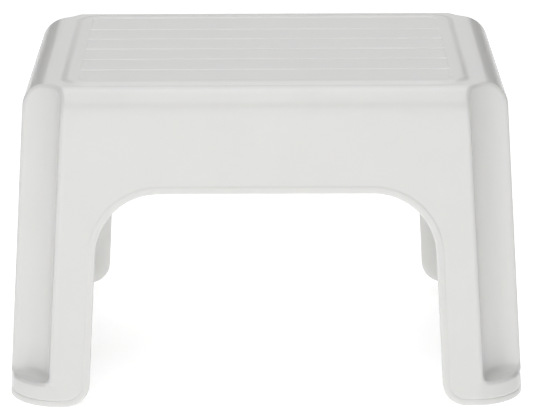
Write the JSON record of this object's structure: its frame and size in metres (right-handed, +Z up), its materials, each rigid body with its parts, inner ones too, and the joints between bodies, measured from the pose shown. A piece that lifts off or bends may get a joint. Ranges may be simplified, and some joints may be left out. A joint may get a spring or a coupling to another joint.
{
  "type": "step stool",
  "caption": "Low one-step stool moulded as an open-bottomed shell, with fluted corner legs, arched sides, a raised ribbed tread and rubber foot pads.",
  "frame": {"origin": "on the floor, under the middle of the stool", "axes": "+X along the width, -Y towards the front, +Z up"},
  "size_m": [0.3752, 0.2918, 0.2337],
  "materials": {
    "moulded_shell": "satin white moulded polypropylene with a fine grain",
    "foot_rubber": "matt grey rubber"
  },
  "bodies": {
    "root": {"stool_shell": "moulded_shell", "foot_pad_front_left": "foot_rubber", "foot_pad_front_right": "foot_rubber", "foot_pad_back_left": "foot_rubber", "foot_pad_back_right": "foot_rubber"}
  },
  "joints": []
}
